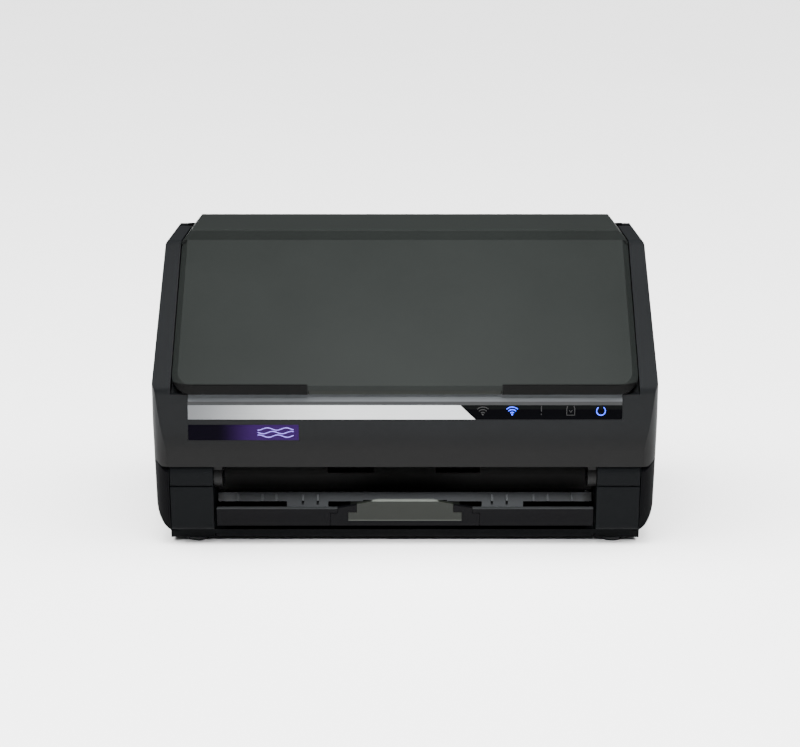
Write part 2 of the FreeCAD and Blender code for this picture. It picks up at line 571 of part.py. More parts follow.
arm_holes = piece("arm_holes", False)
pad(arm_holes, "side", "-width", "width", ("hinge_y", "hinge_z", "pin_radius + fit"))
pad(arm_holes, "side", "-slot_half", "slot_half",
    box("latch_y - pin_radius + 0.3 - fit", "latch_z - pin_radius + 0.3 - fit",
        "latch_y + pin_radius - 0.3 + fit", "latch_z + pin_radius - 0.3 + fit"))
pad(arm_holes, "side", "-width / 2 + 1", "width / 2 - 1", ("lid_pivot_y", "lid_pivot_z", "pin_radius"))
cover_skin = common("cover_skin", skin, cover_zone)
exit_wall = piece("exit_wall", False)
pad(exit_wall, "side", "-(slot_half - 0.4)", "slot_half - 0.4",
    [("hinge_y - 7", "exit_lip_z"), ("hinge_y - 4", "exit_lip_z"), ("hinge_y + 12", "hinge_z + 1.5", 12),
     ("hinge_y + 16", "hinge_z - 16", 2), ("hinge_y + 25", "hinge_z - 16"), ("hinge_y + 25", "hinge_z - 14"),
     ("hinge_y + 18.4", "hinge_z - 14"), ("hinge_y + 14.6", "hinge_z + 3.8", 12),
     ("hinge_y - 4", "exit_lip_z + 2.4"), ("hinge_y - 7", "exit_lip_z + 2.4")])
pocket(exit_wall, "front", "hinge_y", "hinge_y + 22", box("18.5", "hinge_z - 3.5", "45", "hinge_z + 2.5"),
       box("-46.5", "hinge_z - 3.5", "-18.8", "hinge_z + 2.5"))
rib_holes = on_path(piece("rib_holes", False))
for place, size in (("exit_along", "pinch_radius"), ("conveyor_along", "pinch_radius"), ("feed_along", "separation_radius")):
    pad(rib_holes, "side", "-(slot_half - 2)", "slot_half - 2",
        box(place + " - 2 - fit", "%s - 1.8 + nip - fit" % size, place + " + 2 + fit", "%s + 3.7 + nip" % size))
cover_full = fuse("cover_full", cover_skin, deck_in, cheek_in, arms, exit_wall, ribs)
cover_tools = fuse("cover_tools", recess, trim_pocket, arm_holes, rib_holes)
keep(cut("cover_shell", cover_full, cover_tools), "cover_shell")

front_guide = on_path(piece("front_guide"))
pad(front_guide, "side", "-(slot_half - 6)", "slot_half - 6",
    [("6", "paper_gap / 2"), ("feed_along + 6", "paper_gap / 2"), ("feed_along + 22", "14"),
     ("feed_along + 20.5", "16"), ("feed_along + 5", "paper_gap / 2 + 2"), ("6", "paper_gap / 2 + 2")])
FRONT_LOW, FRONT_HIGH = "paper_gap / 2 - 1", "paper_gap / 2 + 3"
windows(front_guide, FRONT_LOW, FRONT_HIGH, "exit_along", "pinch_radius", ["0"], "68")
windows(front_guide, FRONT_LOW, FRONT_HIGH, "conveyor_along", "pinch_radius", ["0"], "68")
windows(front_guide, FRONT_LOW, "separation_radius + 3", "feed_along", "separation_radius + 0.6", ["0"], "28.5")
windows(front_guide, FRONT_LOW, FRONT_HIGH, "sensor_along", "5.2", ["0"], "slot_half - 9")

PINCHES = {"exit_pinch": ("exit_along", "pinch_radius", ["0"], 66),
           "conveyor_pinch": ("conveyor_along", "pinch_radius", ["0"], 66),
           "separation_roller": ("feed_along", "separation_radius", ["0"], 27)}
for name, (place, size, spots, half_width) in PINCHES.items():
    height_out = "%s + 0.2 + nip" % size
    roller = on_path(piece(name))
    reach = "(slot_half - 6 + rib_thick)"
    pad(roller, "side", "-" + reach, reach, (place, height_out, "2"))
    for spot in spots:
        pad(roller, "side", "%s - %s" % (spot, half_width), "%s + %s" % (spot, half_width),
            (place, height_out, size))

# Lid: outer shell, inner tray, extension, guides.

SLOPE_LONG = "((lid_blend_z - lid_face_z) / sin(%s))" % SLOPE


def framed(item, back, up, angle):
    """Lay an item built flat onto a slope: its +Y up the slope and its +Z square off it."""
    item.Placement = FreeCAD.Placement(FreeCAD.Vector(), FreeCAD.Rotation(FreeCAD.Vector(1, 0, 0), 1))
    bind(item, "Placement.Base.y", back)
    bind(item, "Placement.Base.z", up)
    bind(item, "Placement.Rotation.Angle", angle)
    return item


def on_slope(up_slope, under):
    """A place given up the lid's slope from its low edge, and square under its outer face."""
    back = "lid_face_y + (%s) * cos(%s) + (%s) * sin(%s)" % (up_slope, SLOPE, under, SLOPE)
    up = "lid_face_z + (%s) * sin(%s) - (%s) * cos(%s)" % (up_slope, SLOPE, under, SLOPE)
    return back, up


lid_panel = framed(piece("lid_panel", False), "lid_face_y", "lid_face_z", SLOPE)
pad(lid_panel, "top", "-lid_thick", "0",
    [("-lid_half", "-lid_bevel", "lid_corner"), ("lid_half", "-lid_bevel", "lid_corner"),
     ("lid_half", SLOPE_LONG), ("-lid_half", SLOPE_LONG)])


def face_rim(edge):
    """The outer face's edges, but not the one under the crest."""
    local = edge.CenterOfMass
    return abs(local.z) < 0.01 and local.y < value(SLOPE_LONG) - 1


dress(lid_panel, "Chamfer", "lid_bevel", face_rim)
lid_band = piece("lid_band", False)
pad(lid_band, "side", "-lid_half", "lid_half", [
    ("lid_bend_y", "lid_bend_z"), ("lid_pivot_y", "lid_rear_z"),
    ("lid_pivot_y + lid_barrel", "lid_pivot_z - 1"), ("lid_pivot_y + lid_barrel", "height", "lid_barrel - 0.4"),
    ("crest_y", "height", 1.2), ("lid_blend_y", "lid_blend_z"), on_slope(SLOPE_LONG + " - 2", "lid_bevel + 1.2"),
    on_slope("50", "lid_bevel + 1.2")])
flare = [("lid_half + 2", "cheek_top - 0.5"), ("lid_half", "cheek_top - 0.5"), ("crest_half", "height + 0.01"),
         ("lid_half + 2", "height + 0.01")]
pocket(lid_band, "front", "-depth", "depth", flare, [("-(%s)" % across, up) for across, up in flare])
lid_hollow = piece("lid_hollow", False)
pad(lid_hollow, "side", "-(lid_half - 7)", "lid_half - 7", [
    ("lid_face_y + 4", "lid_low_z - 6"), ("lid_pivot_y - 9", "lid_bend_z - 20"),
    ("lid_pivot_y - 9", "height - lid_wall"), ("crest_y + lid_wall", "height - lid_wall"),
    on_slope(SLOPE_LONG, "lid_wall"), on_slope("1.5", "lid_wall")])
pad(lid_hollow, "side", "-width", "width", box("-depth", "0", LOW_INNER[0] + " + 2", "lid_low_z"))
pad(lid_hollow, "side", "-(tab_half + 0.4)", "tab_half + 0.4", [
    on_slope("-12", "lid_wall"), on_slope("7", "lid_wall"), on_slope("7", "lid_wall + 14"),
    on_slope("-12", "lid_wall + 14")])
pad_both(lid_hollow, "side", "lid_half - 16", "lid_half + 1", ("lid_pivot_y", "lid_pivot_z", "pin_radius + fit"))
lid = keep(cut("lid_shell", fuse("lid_solid", lid_panel, lid_band), lid_hollow), "lid_shell")
tray = piece("lid_tray")
pad(tray, "side", "-(lid_half - 7.2)", "lid_half - 7.2", [
    ("lid_face_y + 4.2", "lid_low_z + 0.3"), LOW_INNER, ("lid_bend_y", "lid_bend_z"),
    ("lid_pivot_y - 9.2", ramp_z("lid_pivot_y - 9.2", "0")),
    ("lid_pivot_y - 9.2", ramp_z("lid_pivot_y - 9.2", "-1.9")), ("lid_bend_y - 0.6", "lid_bend_z + 2"),
    ("lid_inner_y + 1", "lid_inner_z + 3.4"), ("lid_face_y + 4.2", "lid_low_z + 2")])
extension = piece("tray_extension")
pad(extension, "side", "-tab_half", "tab_half", [
    on_slope("-0.6", "lid_wall + 0.3"), on_slope("-lid_bevel + 0.9", "lid_wall + 0.3 + extension_thick"),
    on_slope("extension_long", "lid_wall + 0.3 + extension_thick"), on_slope("extension_long", "lid_wall + 0.3")])

RAMP_AT = ("lid_pivot_y", "lid_rear_z", RAMP)
RACKS = {"right": ("-25 - pinion_radius - 6.2", "-25 - pinion_radius - 0.2", "-36"),
         "left": ("pinion_radius - 24.8", "pinion_radius - 18.8", "-17")}
for side, (low, high, neck) in RACKS.items():
    rule = framed(piece("edge_guide_" + side), *RAMP_AT)
    sign = (lambda text: text) if side == "right" else (lambda text: "-(%s)" % text)
    near, far = sorted([sign("guide_out"), sign("guide_out + guide_wall")], key=value)
    pad(rule, "side", near, far, [("-36", "-0.4"), ("-36", "-12", 2), ("-24", "-8.5", 3), ("-14", "-0.4")])
    pad(rule, "top", "-0.5", "tray_thick + 0.5",
        box(near, neck, far, neck + " + 3"))
    inner_end, outer_end = sorted([sign("-6"), sign("guide_out + guide_wall")], key=value)
    pad(rule, "top", "tray_thick + 0.4", "tray_thick + 2.4", box(inner_end, low, outer_end, high))
    slot_in, slot_out = sorted([sign("guide_in - 1"), sign("guide_out + guide_wall + 0.6")], key=value)
    slot_cut = framed(piece("tray_slot_" + side, False), *RAMP_AT)
    pad(slot_cut, "top", "-4", "tray_thick + 4", box(slot_in, neck + " - 0.3", slot_out, neck + " + 3.3"))
tray_slots = fuse("tray_slots", doc.getObject("tray_slot_right"), doc.getObject("tray_slot_left"))
pieces.remove(tray)
tray.Label = "tray_form"
axle = framed(piece("tray_axle", False), *RAMP_AT)
pad(axle, "top", "tray_thick - 0.5", "tray_thick + 2.6", ("0", "-25", 1))
keep(fuse("lid_tray", cut("tray_slotted", tray, tray_slots), axle), "lid_tray")
pinion = framed(piece("guide_pinion"), *RAMP_AT)
pad(pinion, "top", "tray_thick + 0.4", "tray_thick + 2.4", ("0", "-25", "pinion_radius"))
pocket(pinion, "top", "tray_thick", "tray_thick + 3", ("0", "-25", "1 + fit"))

lid_pins = piece("lid_hinge_pins")
for low, high in (("lid_half - 14", "lid_half + gap + 2.4"), ("-(lid_half + gap + 2.4)", "-(lid_half - 14)")):
    pad(lid_pins, "side", low, high, ("lid_pivot_y", "lid_pivot_z", "pin_radius"))

# Output trays: each front plate fills the cut-out of the one outside it.

LIP_Y, LIP_BACK = "-depth / 2", "(-depth / 2 + lip_thick)"
STAGE_TWO = mirrored([("stage_two_half", "lip_low"), ("stage_two_half", "lip_low + 7.6"),
                      ("stage_two_shoulder", "lip_low + 7.6"), ("stage_two_shoulder", "lip_high"),
                      ("stage_two_shoulder - 12", "lip_high + 2")])
STAGE_THREE = mirrored([("stage_three_half", "lip_low + 3"), ("stage_three_half", "lip_low + 8.2"),
                        ("stage_three_shoulder", "lip_low + 8.2"), ("stage_three_shoulder", "lip_high + 2.6"),
                        ("stage_three_shoulder - 12", "lip_high + 4.8")])


def grown(corners, extra):
    grew = []
    for across, up in corners:
        sign = "-" if across.startswith("-(") else ""
        inner = across[2:-1] if sign else across
        grew.append(("%s((%s) + %s)" % (sign, inner, extra), up))
    return grew


tray_one = piece("output_tray")
pad(tray_one, "front", LIP_Y, LIP_BACK, box("-lip_half", "lip_low", "lip_half", "lip_high"))
pocket(tray_one, "front", LIP_Y, LIP_BACK, grown(mirrored([
    ("stage_two_half", "lip_low - 1"), ("stage_two_half", "lip_low + 7.9"),
    ("stage_two_shoulder", "lip_low + 7.9"), ("stage_two_shoulder", "lip_high + 1")]), "0.3"))
pad(tray_one, "side", "-(lip_half - 4)", "lip_half - 4",
    box("-depth / 2 + lip_thick - 0.5", "lip_low", "tray_long - depth / 2", "lip_low + tray_wall"))
pocket(tray_one, "top", "lip_low - 1", "lip_low + 5",
       box("-(stage_two_half + 0.3)", "-depth / 2 + lip_thick - 0.6", "stage_two_half + 0.3", "-depth / 2 + lip_thick"))
tray_two = piece("output_stage_two")
pad(tray_two, "front", LIP_Y, LIP_BACK, STAGE_TWO)
pocket(tray_two, "front", LIP_Y, LIP_BACK, grown(mirrored([
    ("stage_three_half", "lip_low + 2.7"), ("stage_three_half", "lip_low + 8.5"),
    ("stage_three_shoulder", "lip_low + 8.5"), ("stage_three_shoulder", "lip_high + 6")]), "0.3"))
pad(tray_two, "side", "-(stage_two_half - 4)", "stage_two_half - 4",
    box("-depth / 2 + lip_thick - 0.5", "lip_low + tray_wall + 0.3", "tray_long - depth / 2 - 8", "lip_low + 2 * tray_wall"))
pocket(tray_two, "top", "lip_low - 1", "lip_low + 5",
       box("-(stage_three_half + 0.3)", "-depth / 2 + lip_thick - 0.6", "stage_three_half + 0.3", "-depth / 2 + lip_thick"))
tray_three = piece("output_stage_three")
pad(tray_three, "front", LIP_Y, LIP_BACK, STAGE_THREE)
pad(tray_three, "side", "-(stage_three_half - 0.5)", "stage_three_half - 0.5",
    box("-depth / 2 + lip_thick - 0.5", "lip_low + 2 * tray_wall + 0.3", "tray_long - depth / 2 - 16",
        "lip_low + 2 * tray_wall + 1.9"))
stopper = piece("paper_stopper")
pad(stopper, "side", "-(stage_three_shoulder - 3)", "stage_three_shoulder - 3",
    [("-depth / 2 + 5", "lip_low + 2 * tray_wall + 2.2", 0.79), ("-depth / 2 + 24", "lip_low + 2 * tray_wall + 2.2"),
     ("-depth / 2 + 24", "lip_low + 2 * tray_wall + 3.8"), ("-depth / 2 + 5", "lip_low + 2 * tray_wall + 3.8", 0.79)])

# Control buttons on the deck under the lid, with the board that carries their switches.

SLOPE_AT = ("lid_face_y", "lid_face_z", SLOPE)
BUTTONS = {"power_button": "lid_half - 24", "start_button": "lid_half - 42", "stop_button": "lid_half - 60",
           "wireless_button": "lid_half - 78"}
deck_holes = framed(piece("deck_holes", False), *SLOPE_AT)
for name, across in BUTTONS.items():
    button = framed(piece(name), *SLOPE_AT)
    pad(button, "top", "button_top - 3.9", "button_top", (across, "button_row", "button_radius"))
    pad(button, "top", "button_top - 4.9", "button_top - 3.8",
        box(across + " - button_radius - 1", "button_row - button_radius - 1", across + " + button_radius + 1",
            "button_row + button_radius + 1"))
    pad(deck_holes, "top", "button_top - 14", "button_top + 5", (across, "button_row", "button_radius + 0.3"))
deck_posts = framed(piece("deck_posts", False), *SLOPE_AT)
for across in ("lid_half - 90", "lid_half - 15"):
    pad(deck_posts, "top", "button_top - 5.8", "button_top - 1.5",
        box(across + " - 2.5", "button_row - 2.5", across + " + 2.5", "button_row + 2.5"))
board = framed(piece("control_board"), *SLOPE_AT)
pad(board, "top", "button_top - 7.4", "button_top - 5.8", box("lid_half - 94", "button_row - 8", "lid_half - 11", "button_row + 8"))
shell = doc.getObject("cover_shell")
pieces.remove(shell)
shell.Label = "cover_plain"
keep(cut("cover_drilled", fuse("cover_posts", shell, deck_posts), deck_holes), "cover_shell")

# Rear sockets on the main board.

main_board = piece("main_board")
pad(main_board, "front", "socket_face - 12", "socket_face - 10.4", box("jack_x - 152", "foot_lift + 5.5", "jack_x + 18", "74"))
power_jack = piece("power_jack")
pad(power_jack, "front", "socket_face - 10.4", "socket_face", box("jack_x - 5", "socket_low", "jack_x + 5", "socket_low + 11"))
pocket(power_jack, "front", "socket_face - 8", "socket_face + 1", ("jack_x", "socket_low + 5.5", 3.2))
pad(power_jack, "front", "socket_face - 8.5", "socket_face - 1.5", ("jack_x", "socket_low + 5.5", 0.9))
usb_port = piece("usb_port")
pad(usb_port, "front", "socket_face - 10.4", "socket_face", box("usb_x - 6", "socket_low", "usb_x + 6", "socket_low + 11"))
pocket(usb_port, "front", "socket_face - 9", "socket_face + 1", box("usb_x - 5", "socket_low + 1", "usb_x + 5", "socket_low + 10"))
pad(usb_port, "front", "socket_face - 9.5", "socket_face - 1.5", box("usb_x - 2.8", "socket_low + 3.5", "usb_x + 2.8", "socket_low + 6.7"))
socket_cut = piece("socket_cut", False)
for across, half in (("jack_x", 5.3), ("usb_x", 6.3)):
    pad(socket_cut, "front", "socket_face - 14", "depth",
        box("%s - %s" % (across, half), "socket_low - 0.3", "%s + %s" % (across, half), "socket_low + 11.3"))
house = doc.getObject("base_shell")
pieces.remove(house)
house.Label = "base_plain"
keep(cut("base_cut", house, fuse("base_tools", socket_cut, doc.getObject("bottom_pan"),
                                doc.getObject("foot_block_right"), doc.getObject("foot_block_left"))), "base_shell")

# Drive belt: one band round the four pulleys, drawn as arcs about their axes and the tangents between.


def add_band(sketch, centres, size):
    count = len(centres)
    spots = [FreeCAD.Vector(value(back), value(up), 0) for back, up in centres]
    reach = value(size)
    arcs, runs = [], []
    tangents = []
    for index in range(count):
        way = (spots[(index + 1) % count] - spots[index]).normalize()
        tangents.append(FreeCAD.Vector(way.y, -way.x, 0) * reach)
    for index in range(count):
        centre = spots[index]
        start, stop = centre + tangents[index - 1], centre + tangents[index]
        angles = [math.atan2(spot.y - centre.y, spot.x - centre.x) for spot in (start, stop)]
        circle = Part.Circle(centre, FreeCAD.Vector(0, 0, 1), reach)
        arcs.append(sketch.addGeometry(Part.ArcOfCircle(circle, *angles), False))
        after = spots[(index + 1) % count] + tangents[index]
        runs.append(sketch.addGeometry(Part.LineSegment(stop, after), False))
    for index in range(count):
        datum(sketch, "DistanceX", arcs[index], 3, centres[index][0])
        datum(sketch, "DistanceY", arcs[index], 3, centres[index][1])
        radius(sketch, arcs[index], size)
        sketch.addConstraint(Sketcher.Constraint("Tangent", arcs[index], 2, runs[index], 1))
        sketch.addConstraint(Sketcher.Constraint("Tangent", runs[index], 2, arcs[(index + 1) % count], 1))


belt = on_path(piece("drive_belt"))
centres = [MOTOR] + [(DRIVES[name][0], "-(%s) + 0.2" % DRIVES[name][1]) for name in ("feed", "conveyor", "exit")]
belt_sketch = draw(belt, "side", [], "belt_x - belt_wide / 2 + 0.5")
add_band(belt_sketch, centres, "pulley_radius + 0.3")
add_band(belt_sketch, centres, "pulley_radius + 0.3 + belt_thick")
band = belt.newObject("PartDesign::Pad", "belt_pad")
band.Profile = belt_sketch
bind(band, "Length", "belt_wide - 1")
doc.recompute()

# Latch: a rod under the deck with a thumb pad and a finger at each end, over catch pins on the frames.

latch = piece("latch_lever")
pad(latch, "side", "-latch_out", "latch_out", ("latch_y", "latch_z", "pin_radius - 0.3"))
pad_both(latch, "side", "latch_out - 4", "latch_out",
         [("latch_y - 2", "latch_z - 2"), ("latch_y + 2", "latch_z + 2"), ("latch_y + 23", "latch_z - 6"),
          ("latch_y + 21", "latch_z - 9.5")])

doc.recompute()
faults = [item.Name for item in doc.Objects if "Invalid" in item.State or "Error" in item.State]
for item in pieces:
    if item.Shape.isNull() or not item.Shape.isValid():
        faults.append(item.Label)
if faults:
    raise ValueError("failed: " + ", ".join(faults))
os.makedirs("parts", exist_ok=True)
for item in pieces:
    item.Shape.exportStep("parts/%s.step" % item.Label)
    print("%-22s %2d solids %4d faces %9.0f mm3" % (item.Label, len(item.Shape.Solids), len(item.Shape.Faces), item.Shape.Volume))
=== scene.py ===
import json
import logging
import math
from dataclasses import dataclass, field
from enum import Enum

import bpy
import numpy as np
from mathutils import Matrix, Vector


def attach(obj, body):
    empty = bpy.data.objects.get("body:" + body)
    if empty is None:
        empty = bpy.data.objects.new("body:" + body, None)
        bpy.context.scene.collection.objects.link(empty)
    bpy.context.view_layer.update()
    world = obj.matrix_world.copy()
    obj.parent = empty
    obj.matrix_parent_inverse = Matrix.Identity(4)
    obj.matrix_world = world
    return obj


# A closed sheet-fed photo scanner, seen from the front and a little above. Metres, +Z up, front towards -Y.
# A value whose name ends in _mm is in millimetres, and so are all sizes in the class of the front's details.

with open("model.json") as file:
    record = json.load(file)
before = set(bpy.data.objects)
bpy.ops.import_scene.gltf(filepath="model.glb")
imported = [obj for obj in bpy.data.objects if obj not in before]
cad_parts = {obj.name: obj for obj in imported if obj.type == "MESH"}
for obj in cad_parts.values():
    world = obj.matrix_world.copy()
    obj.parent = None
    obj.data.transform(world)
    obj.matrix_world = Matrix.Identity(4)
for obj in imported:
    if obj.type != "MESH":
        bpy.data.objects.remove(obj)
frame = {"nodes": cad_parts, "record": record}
log = logging.getLogger("scanner")
MM = 0.001
# A noise's scale is a metre over the size of its grain, both in millimetres.
METRE_MM = 1000.0
UP, DOWN, LEFT, RIGHT = (0.0, 0.0, 1.0), (0.0, 0.0, -1.0), (-1.0, 0.0, 0.0), (1.0, 0.0, 0.0)
Place = tuple[float, float, float]
# A point on a face, the direction up it and its outward direction.
Face = tuple[np.ndarray, np.ndarray, np.ndarray]


# Colours, nodes and meshes


def linear(hex_colour: str, times: float = 1.0) -> tuple[float, float, float, float]:
    """An sRGB hex colour as the linear colour that Blender's sockets take.

    Args:
        hex_colour: Six hex digits with a leading hash.
        times: What each linear part is multiplied by, up to one at most.

    Returns:
        Red, green, blue and an alpha of one.
    """
    parts = np.array([int(hex_colour[i:i + 2], 16) for i in (1, 3, 5)]) / 255.0
    low = parts / 12.92
    high = ((parts + 0.055) / 1.055) ** 2.4
    red, green, blue = np.minimum(1.0, times * np.where(parts <= 0.04045, low, high))
    return float(red), float(green), float(blue), 1.0


def add_node(tree: bpy.types.NodeTree, kind: str, settings: dict | None = None,
             links: dict | None = None) -> bpy.types.Node:
    """Add one shader node with its settings and its incoming links.

    Args:
        tree: The material's node tree.
        kind: The node's Blender type name.
        settings: Values by property name, or by input name or number.
        links: Output sockets of other nodes by this node's input name or number.

    Returns:
        The new node.
    """
    node = tree.nodes.new(kind)
    for key, setting in (settings or {}).items():
        if isinstance(key, str) and hasattr(node, key):
            setattr(node, key, setting)
        else:
            node.inputs[key].default_value = setting
    for key, socket in (links or {}).items():
        tree.links.new(socket, node.inputs[key])
    return node


def mesh_object(name: str, points: np.ndarray, faces: list | np.ndarray, smooth: bool = True) -> bpy.types.Object:
    """Put points and faces into a new mesh object at the origin.

    Args:
        name: The piece's name.
        points: An array of corner places, one row each.
        faces: Corner numbers of each face.
        smooth: Whether the surface is shaded round.

    Returns:
        The linked object.
    """
    mesh = bpy.data.meshes.new(name)
    mesh.from_pydata(np.asarray(points, float).reshape(-1, 3).tolist(), [], [tuple(int(i) for i in f) for f in faces])
    mesh.polygons.foreach_set("use_smooth", [smooth] * len(mesh.polygons))
    mesh.update()
    item = bpy.data.objects.new(name, mesh)
    bpy.context.scene.collection.objects.link(item)
    return item


def grid_faces(rows: int, columns: int, close_rows: bool = False, close_columns: bool = False) -> np.ndarray:
    """Quads between neighbouring points of a grid, wrapped round where it closes on itself.

    Args:
        rows: Number of points along the first parameter.
        columns: Number of points along the second parameter.
        close_rows: Whether the last row joins the first.
        close_columns: Whether the last column joins the first.

    Returns:
        Four corner numbers a row. A face looks along the first parameter crossed with the second.
    """
    row = np.arange(rows if close_rows else rows - 1)
    column = np.arange(columns if close_columns else columns - 1)
    r, c = np.meshgrid(row, column, indexing="ij")
    up, over = (r + 1) % rows, (c + 1) % columns
    return np.stack([up * columns + c, up * columns + over, r * columns + over, r * columns + c], -1).reshape(-1, 4)


def carried_profile(name: str, path: np.ndarray, outline: np.ndarray, across: np.ndarray,
                    closed: bool) -> bpy.types.Object:
    """Carry a closed outline along a path: point = path + outline.x * side + outline.y * across.

    The side is square to both the path and the fixed across direction. An open path gets flat ends.

    Args:
        name: The piece's name.
        path: Places along the centre line, one row each.
        outline: The outline's corners in the side and across directions, anticlockwise.
        across: The fixed direction that the outline's second axis takes.
        closed: Whether the path joins its own start.

    Returns:
        The linked object.
    """
    ahead = np.roll(path, -1, 0) - np.roll(path, 1, 0)
    if not closed:
        ahead[0], ahead[-1] = path[1] - path[0], path[-1] - path[-2]
    side = np.cross(ahead, across)
    side /= np.linalg.norm(side, axis=1, keepdims=True)
    points = path[:, None] + outline[None, :, :1] * side[:, None] + outline[None, :, 1:] * across
    rows, columns = points.shape[:2]
    faces = grid_faces(rows, columns, closed, True).tolist()
    if not closed:
        last = (rows - 1) * columns
        faces += [list(range(columns)), list(range(last, last + columns))[::-1]]
    return mesh_object(name, points, faces, smooth=False)


# Finishes


def fresh_material(name: str) -> tuple[bpy.types.Material, bpy.types.NodeTree, bpy.types.Node, bpy.types.NodeSocket]:
    """An empty material with its output, one Principled shader and the object's coordinates.

    Args:
        name: The material's name.

    Returns:
        The material, its node tree, the shader node and the coordinates.
    """
    material = bpy.data.materials.new(name)
    material.use_nodes = True
    tree = material.node_tree
    tree.nodes.clear()
    shader = add_node(tree, "ShaderNodeBsdfPrincipled")
    add_node(tree, "ShaderNodeOutputMaterial", links={"Surface": shader.outputs[0]})
    return material, tree, shader, add_node(tree, "ShaderNodeTexCoord").outputs["Object"]


@dataclass(frozen=True)
class Fade:
    """A second colour that comes in along one direction of the object, between two distances.

    It may be left out of the object's middle, up to a distance to each side.
    """

    colour: str
    along: Place
    start_mm: float
    end_mm: float
    middle_mm: float = 0.0

    def over(self, tree: bpy.types.NodeTree, where: bpy.types.NodeSocket,
             first: bpy.types.NodeSocket) -> bpy.types.NodeSocket:
        """Lay the second colour over the first: its share is the place's distance along the direction, mapped to 0..1.

        Args:
            tree: The material's node tree.
            where: The object coordinates.
            first: The colour beneath.

        Returns:
            The mixed colour.
        """
        reach = add_node(tree, "ShaderNodeVectorMath", {"operation": "DOT_PRODUCT", 1: self.along}, {0: where})
        share = add_node(tree, "ShaderNodeMapRange",
                         {"interpolation_type": "SMOOTHSTEP", "From Min": self.start_mm * MM,
                          "From Max": self.end_mm * MM}, {"Value": reach.outputs["Value"]}).outputs[0]
        if self.middle_mm:
            apart = add_node(tree, "ShaderNodeSeparateXYZ", links={0: where})
            aside = add_node(tree, "ShaderNodeMath", {"operation": "ABSOLUTE"}, {0: apart.outputs["X"]})
            beyond = add_node(tree, "ShaderNodeMath", {"operation": "GREATER_THAN", 1: self.middle_mm * MM},
                              {0: aside.outputs[0]})
            share = add_node(tree, "ShaderNodeMath", {"operation": "MULTIPLY"},
                             {0: share, 1: beyond.outputs[0]}).outputs[0]
        mixed = add_node(tree, "ShaderNodeMix", {"data_type": "RGBA", 7: linear(self.colour)}, {0: share, 6: first})
        return mixed.outputs[2]


@dataclass(frozen=True)
class Moulded:
    """Injection-moulded plastic with a fine eroded grain in its mould, satin to matt.

    A real grain of 0.1 to 0.3 mm is too fine to show, so grain_mm draws it as coarse as it needs to show. Film,
    acrylic, rubber, paint and ink take this finish too, with their own numbers. The level is the specular one.
    """

    name: str
    colour: str
    roughness: float = 0.45
    grain_mm: float = 0.9
    bump: float = 0.06
    cloud_mm: float = 60.0
    cloud: float = 0.06
    ior: float = 1.53
    level: float = 0.5
    fades: tuple[Fade, ...] = ()
    cloud_light: float = 1.35
    grain_deep_mm: float = 0.1

    def make(self) -> bpy.types.Material:
        """Build the material: grain as bump, slow clouding in roughness and colour, and then its fades.

        Returns:
            The material.
        """
        material, tree, shader, where = fresh_material(self.name)
        shader.inputs["IOR"].default_value = self.ior
        shader.inputs["Specular IOR Level"].default_value = self.level
        grain = add_node(tree, "ShaderNodeTexNoise", {"Scale": METRE_MM / self.grain_mm, "Detail": 3.0},
                         {"Vector": where})
        clouds = add_node(tree, "ShaderNodeTexNoise", {"Scale": METRE_MM / self.cloud_mm, "Detail": 4.0},
                          {"Vector": where})
        tint = add_node(tree, "ShaderNodeMix", {"data_type": "RGBA", 6: linear(self.colour),
                                                7: linear(self.colour, self.cloud_light)},
                        {0: clouds.outputs["Fac"]}).outputs[2]
        for fade in self.fades:
            tint = fade.over(tree, where, tint)
        rough = add_node(tree, "ShaderNodeMapRange", {"To Min": self.roughness - self.cloud,
                                                     "To Max": self.roughness + self.cloud},
                         {"Value": clouds.outputs["Fac"]})
        bump = add_node(tree, "ShaderNodeBump", {"Strength": self.bump, "Distance": self.grain_deep_mm * MM},
                        {"Height": grain.outputs["Fac"]})
        tree.links.new(tint, shader.inputs["Base Color"])
        tree.links.new(rough.outputs[0], shader.inputs["Roughness"])
        tree.links.new(bump.outputs[0], shader.inputs["Normal"])
        return material


@dataclass(frozen=True)
class BrushedMetal:
    """Metal drawn through abrasive: long fine streaks along X that stretch its highlights.

    Real streaks are some hundredths of a millimetre, so streak_mm draws them as coarse as they need to show.
    """

    name: str
    colour: str
    roughness: float = 0.34
    streak_mm: float = 0.7
    streak_long: float = 60.0
    fades: tuple[Fade, ...] = ()
    streak_dark: float = 0.82
    smoother: float = 0.06
    rougher: float = 0.08
    bump: float = 0.08
    streak_deep_mm: float = 0.05

    def make(self) -> bpy.types.Material:
        """Build the material: noise stretched along X in colour, roughness and bump, and then its fades.

        Returns:
            The material.
        """
        material, tree, shader, where = fresh_material(self.name)
        shader.inputs["Metallic"].default_value = 1.0
        squeeze = add_node(tree, "ShaderNodeMapping", {"Scale": (1 / self.streak_long, 1.0, 1.0)}, {"Vector": where})
        streaks = add_node(tree, "ShaderNodeTexNoise", {"Scale": METRE_MM / self.streak_mm, "Detail": 5.0},
                           {"Vector": squeeze.outputs[0]})
        shade = add_node(tree, "ShaderNodeMix", {"data_type": "RGBA", 6: linear(self.colour, self.streak_dark),
                                                 7: linear(self.colour)}, {0: streaks.outputs["Fac"]}).outputs[2]
        for fade in self.fades:
            shade = fade.over(tree, where, shade)
        rough = add_node(tree, "ShaderNodeMapRange", {"To Min": self.roughness - self.smoother,
                                                      "To Max": self.roughness + self.rougher},
                         {"Value": streaks.outputs["Fac"]})
        bump = add_node(tree, "ShaderNodeBump", {"Strength": self.bump, "Distance": self.streak_deep_mm * MM},
                        {"Height": streaks.outputs["Fac"]})
        tree.links.new(shade, shader.inputs["Base Color"])
        tree.links.new(rough.outputs[0], shader.inputs["Roughness"])
        tree.links.new(bump.outputs[0], shader.inputs["Normal"])
        return material


